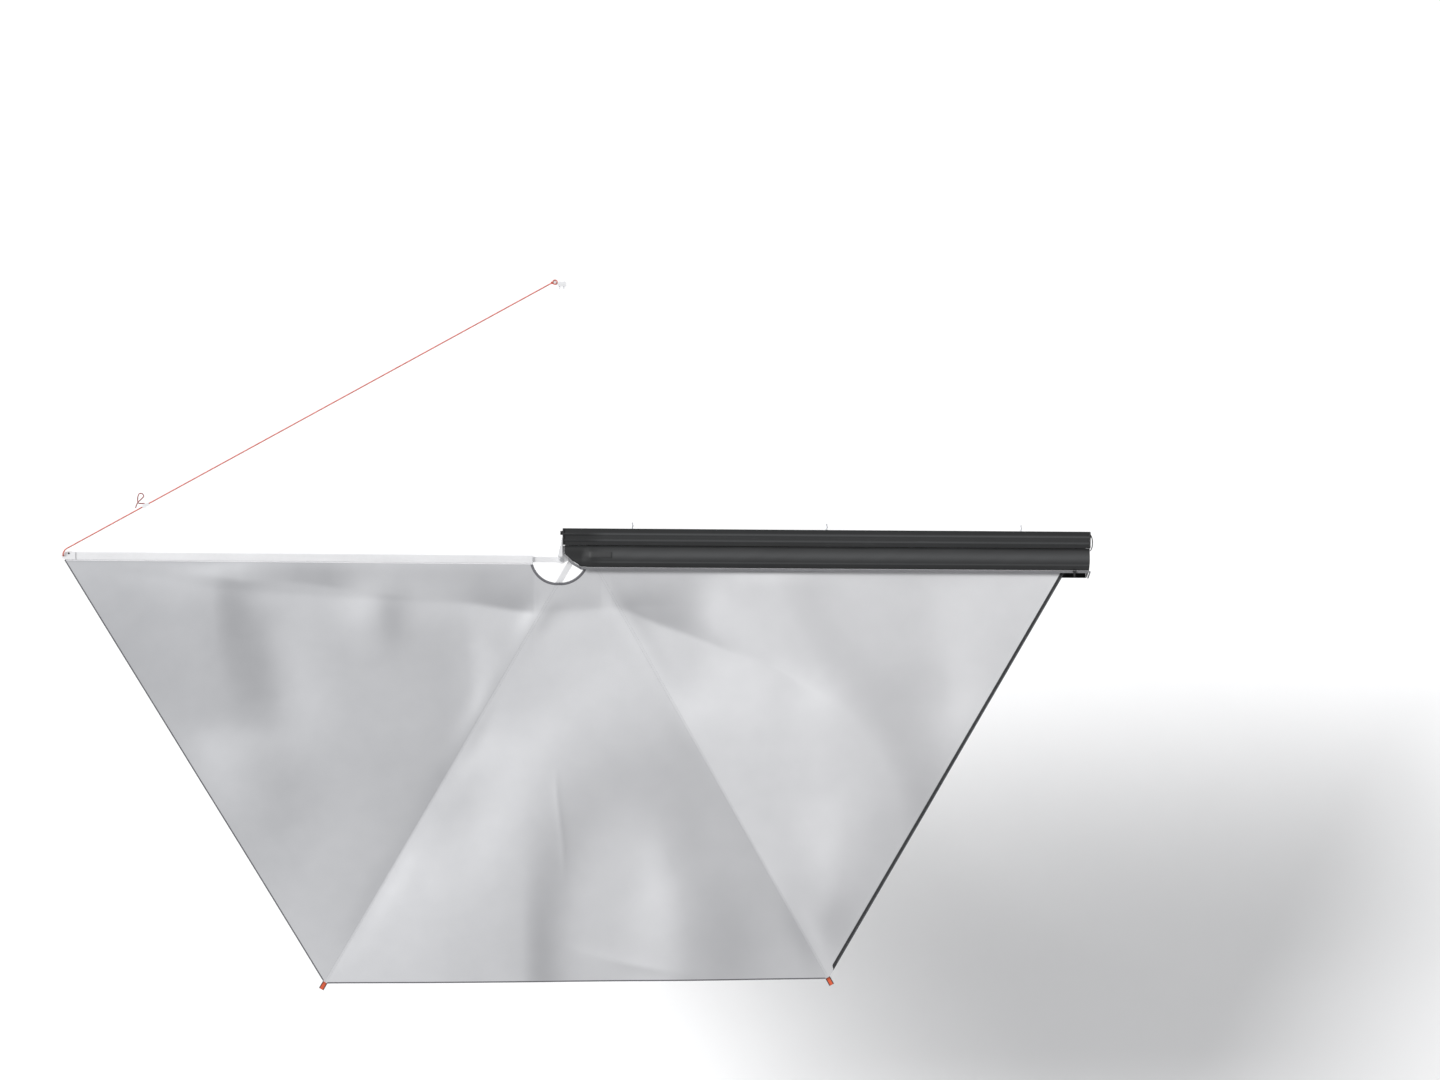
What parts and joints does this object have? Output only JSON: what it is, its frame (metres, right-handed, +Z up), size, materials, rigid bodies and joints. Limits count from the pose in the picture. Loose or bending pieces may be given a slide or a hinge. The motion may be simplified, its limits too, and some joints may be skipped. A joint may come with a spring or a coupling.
{
  "type": "vehicle side awning",
  "caption": "Freestanding fan awning for a roof rack: arms swing out of a soft-bagged aluminium case and spread a canopy, held by a guy rope.",
  "frame": {"origin": "on the back face of the case's profile, at the middle of its length and height", "axes": "+X along the case to the vehicle's front, +Y out of the back face towards the vehicle's rack, +Z up; the canopy opens towards -Y"},
  "size_m": [5.0543, 3.4932, 0.1573],
  "materials": {
    "profile": "black powder coat, satin",
    "plastic": "matte",
    "steel": "plain",
    "bare_aluminium": "bright, anodised",
    "bag": "coated canvas",
    "zip": "matte",
    "black_webbing": "woven",
    "orange_webbing": "woven",
    "canopy": "silver coated cloth",
    "nylon": "moulded",
    "rope": "braided"
  },
  "bodies": {
    "case": {"back_profile": "profile", "rear_end_cap": "plastic", "front_end_cap": "plastic", "rear_cap_bolt": "steel", "front_cap_bolt": "steel", "t_bolt_1": "steel", "t_bolt_2": "steel", "t_bolt_3": "steel", "t_nut_1": "steel", "t_nut_2": "steel", "t_nut_3": "steel", "keder_rail": "bare_aluminium", "bag_cover": "bag", "bag_front_end": "bag", "bag_flap": "bag", "bag_zip": "zip", "label_patch": "bag", "pull_loop": "black_webbing", "hinge_top_plate": "bare_aluminium", "hinge_bottom_plate": "bare_aluminium", "hinge_back_plate": "bare_aluminium", "hinge_bolt_1": "steel", "hinge_bolt_2": "steel", "hinge_gusset": "bare_aluminium", "rear_pivot_bolt": "steel", "rear_pivot_nut": "steel", "mid_pivot_bolt": "steel", "mid_pivot_nut": "steel", "front_pivot_bolt": "steel", "front_pivot_nut": "steel", "canopy_front_panel": "canopy", "canopy_edge_band": "black_webbing", "rack_anchor": "bare_aluminium", "anchor_bolt_1": "steel", "anchor_bolt_2": "steel"},
    "zip_slider": {"zip_slider": "plastic"},
    "rear_arm": {"rear_arm_tube": "bare_aluminium", "rear_arm_tongue": "bare_aluminium", "rear_arm_bush": "nylon", "rear_arm_end_cap": "bare_aluminium", "rope_eye": "bare_aluminium", "rope_eye_rivet": "steel", "canopy_rear_panel": "canopy"},
    "mid_arm": {"mid_arm_tube": "bare_aluminium", "mid_arm_tongue": "bare_aluminium", "mid_arm_bush": "nylon", "mid_arm_end_cap": "plastic", "canopy_mid_panel": "canopy", "mid_corner_tab": "orange_webbing"},
    "front_arm": {"front_arm_tube": "bare_aluminium", "front_arm_tongue": "bare_aluminium", "front_arm_bush": "nylon", "front_arm_end_cap": "plastic", "front_corner_tab": "orange_webbing"},
    "guy_line": {"guy_rope": "rope", "rope_knot": "rope", "rope_anchor_loop": "rope"},
    "tensioner": {"rope_tensioner": "bare_aluminium", "tensioner_tail": "rope"}
  },
  "joints": [
    {"name": "rear_arm_swing", "type": "hinge", "parent": "case", "child": "rear_arm", "pos_m": [-1.2977, -0.1549, 0], "axis": [0, 0, 1], "range_deg": [0, 180.1], "deforming": ["canopy_rear_panel", "canopy_front_panel", "canopy_mid_panel", "canopy_edge_band", "mid_corner_tab", "front_corner_tab", "guy_rope", "rope_anchor_loop", "tensioner_tail"]},
    {"name": "mid_arm_swing", "type": "hinge", "parent": "case", "child": "mid_arm", "pos_m": [-1.2177, -0.1063, 0], "axis": [0, 0, 1], "range_deg": [0, 119.9]},
    {"name": "front_arm_swing", "type": "hinge", "parent": "case", "child": "front_arm", "pos_m": [-1.2, -0.06, 0], "axis": [0, 0, 1], "range_deg": [0, 60.2]},
    {"name": "guy_line_swing", "type": "hinge", "parent": "rear_arm", "child": "guy_line", "pos_m": [-3.7392, -0.15064, 0], "axis": [0, 0, 1], "range_deg": [-29.2, 0]},
    {"name": "tensioner_slide", "type": "slide", "parent": "guy_line", "child": "tensioner", "axis": [0.8739, 0.4861, 0], "range_m": [-0.25, 0.9]},
    {"name": "zip_slide", "type": "slide", "parent": "case", "child": "zip_slider", "axis": [-1, 0, 0], "range_m": [0, 2.3]}
  ],
  "couplings": [
    {"joint": "mid_arm_swing", "follows": "rear_arm_swing", "ratio": 0.66574},
    {"joint": "front_arm_swing", "follows": "rear_arm_swing", "ratio": 0.33426},
    {"joint": "guy_line_swing", "follows": "rear_arm_swing", "ratio": -0.16202}
  ]
}
